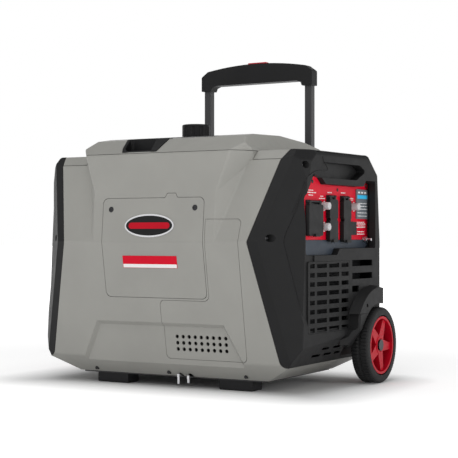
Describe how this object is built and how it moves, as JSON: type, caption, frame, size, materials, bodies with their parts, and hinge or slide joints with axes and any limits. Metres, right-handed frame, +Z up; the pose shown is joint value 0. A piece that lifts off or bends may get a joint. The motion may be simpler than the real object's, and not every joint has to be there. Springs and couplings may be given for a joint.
{
  "type": "inverter generator",
  "caption": "Wheeled closed-case inverter generator with a telescoping trolley handle, end control panel with hinged outlet covers, quarter-turn service door and screw-on fuel cap.",
  "frame": {"origin": "on the ground under the middle of the bounding box at rest", "axes": "+X towards the control panel end, -Y the front with the service door, +Z up"},
  "size_m": [0.714, 0.469, 0.7215],
  "materials": {
    "aluminium": "cast aluminium",
    "black_plastic": "fine grained black plastic",
    "black_steel": "black coated steel tube",
    "body_paint": "satin warm grey moulded panel",
    "button": "pale translucent cap",
    "dark_strip": "dark blue-grey printed strip",
    "display": "grey display housing",
    "iron": "laminated and cast iron",
    "label": "printed label strip",
    "red_plastic": "red moulded plastic",
    "rubber": "moulded rubber",
    "silver": "bright badge plate",
    "socket": "black receptacle body",
    "steel": "plated steel",
    "tank": "moulded fuel tank",
    "tyre": "solid rubber tread"
  },
  "bodies": {
    "chassis": {"air_filter_box": "black_plastic", "axle": "steel", "axle_washers": "steel", "base_tray": "black_steel", "carburettor": "aluminium", "control_plate": "red_plastic", "control_strip": "dark_strip", "crankcase": "aluminium", "cylinder_head": "aluminium", "display_module": "display", "drain_tubes": "steel", "exhaust_deflector": "steel", "fender_left": "black_plastic", "fender_right": "black_plastic", "foot_left": "rubber", "foot_right": "rubber", "front_shell": "body_paint", "fuel_neck": "tank", "fuel_tank": "tank", "ground_terminal": "steel", "inverter_module": "aluminium", "left_end_cap": "black_plastic", "left_louvre": "black_plastic", "muffler": "steel", "outlet_30a": "socket", "outlet_duplex_left": "socket", "outlet_duplex_right": "socket", "rail_left": "black_steel", "rail_right": "black_steel", "rear_shell": "body_paint", "recoil_starter": "black_plastic", "right_end_cap": "black_plastic", "right_grille": "black_plastic", "stator": "iron", "top_cover": "body_paint", "top_tray": "black_plastic", "vent_panel": "body_paint"},
    "wheel_right": {"tyre_right": "tyre", "rim_right": "red_plastic"},
    "wheel_left": {"tyre_left": "tyre", "rim_left": "red_plastic"},
    "handle": {"handle_frame": "black_steel", "grip_lower": "black_plastic", "grip_upper": "black_plastic"},
    "handle_button": {"release_button": "red_plastic"},
    "door": {"service_door": "body_paint", "badge_plate": "silver", "label_strip": "label"},
    "latch_left": {"door_latch_left": "steel"},
    "latch_right": {"door_latch_right": "steel"},
    "filler_cap": {"fuel_cap": "black_plastic"},
    "lid_30a": {"cover_30a": "rubber"},
    "lid_duplex_left": {"cover_duplex_left": "rubber"},
    "lid_duplex_right": {"cover_duplex_right": "rubber"},
    "breaker_upper": {"breaker_button_upper": "button"},
    "breaker_lower": {"breaker_button_lower": "button"},
    "starter": {"start_button": "button"},
    "port_flap": {"port_cover": "rubber"},
    "rotor": {"crankshaft": "iron", "flywheel": "iron"}
  },
  "joints": [
    {"name": "wheel_right_spin", "type": "hinge", "parent": "chassis", "child": "wheel_right", "pos_m": [0.338, 0.1225, 0.0814], "axis": [1, 0, 0], "continuous": true},
    {"name": "wheel_left_spin", "type": "hinge", "parent": "chassis", "child": "wheel_left", "pos_m": [-0.338, 0.1225, 0.0814], "axis": [1, 0, 0], "continuous": true},
    {"name": "handle_slide", "type": "slide", "parent": "chassis", "child": "handle", "axis": [0, 0, 1], "range_m": [-0.158, 0.15]},
    {"name": "handle_button_press", "type": "slide", "parent": "handle", "child": "handle_button", "axis": [0, 0, -1], "range_m": [0, 0.0045], "stiffness_N_per_m": 400, "springref_m": -0.003},
    {"name": "door_hinge", "type": "hinge", "parent": "chassis", "child": "door", "pos_m": [-0.001, -0.21512, 0.1885], "axis": [1, 0, 0], "range_deg": [0, 80]},
    {"name": "latch_left_turn", "type": "hinge", "parent": "door", "child": "latch_left", "pos_m": [-0.1036, -0.22761, 0.37], "axis": [0, -0.9962, 0.0876], "range_deg": [0, 90]},
    {"name": "latch_right_turn", "type": "hinge", "parent": "door", "child": "latch_right", "pos_m": [0.1005, -0.22743, 0.372], "axis": [0, -0.9962, 0.0876], "range_deg": [0, 90]},
    {"name": "filler_cap_turn", "type": "hinge", "parent": "chassis", "child": "filler_cap", "pos_m": [-0.045, 0.0155, 0.545], "axis": [0, 0, 1], "range_deg": [0, 180]},
    {"name": "lid_30a_hinge", "type": "hinge", "parent": "chassis", "child": "lid_30a", "pos_m": [0.3132, -0.11775, 0.384], "axis": [0, -1, 0], "range_deg": [0, 95]},
    {"name": "lid_duplex_left_hinge", "type": "hinge", "parent": "chassis", "child": "lid_duplex_left", "pos_m": [0.3132, -0.0355, 0.396], "axis": [0, -1, 0], "range_deg": [0, 95]},
    {"name": "lid_duplex_right_hinge", "type": "hinge", "parent": "chassis", "child": "lid_duplex_right", "pos_m": [0.3132, 0.0305, 0.396], "axis": [0, -1, 0], "range_deg": [0, 95]},
    {"name": "port_flap_hinge", "type": "hinge", "parent": "chassis", "child": "port_flap", "pos_m": [0.309, 0.069, 0.3452], "axis": [0, -1, 0], "range_deg": [0, 95], "stiffness_Nm_per_rad": 0.004, "springref_deg": -5.73},
    {"name": "breaker_upper_press", "type": "slide", "parent": "chassis", "child": "breaker_upper", "axis": [-1, 0, 0], "range_m": [0, 0.003], "stiffness_N_per_m": 300, "springref_m": -0.002},
    {"name": "breaker_lower_press", "type": "slide", "parent": "chassis", "child": "breaker_lower", "axis": [-1, 0, 0], "range_m": [0, 0.003], "stiffness_N_per_m": 300, "springref_m": -0.002},
    {"name": "starter_press", "type": "slide", "parent": "chassis", "child": "starter", "axis": [-1, 0, 0], "range_m": [0, 0.003], "stiffness_N_per_m": 300, "springref_m": -0.002},
    {"name": "rotor_spin", "type": "hinge", "parent": "chassis", "child": "rotor", "pos_m": [0, 0.0155, 0.175], "axis": [1, 0, 0], "continuous": true}
  ]
}
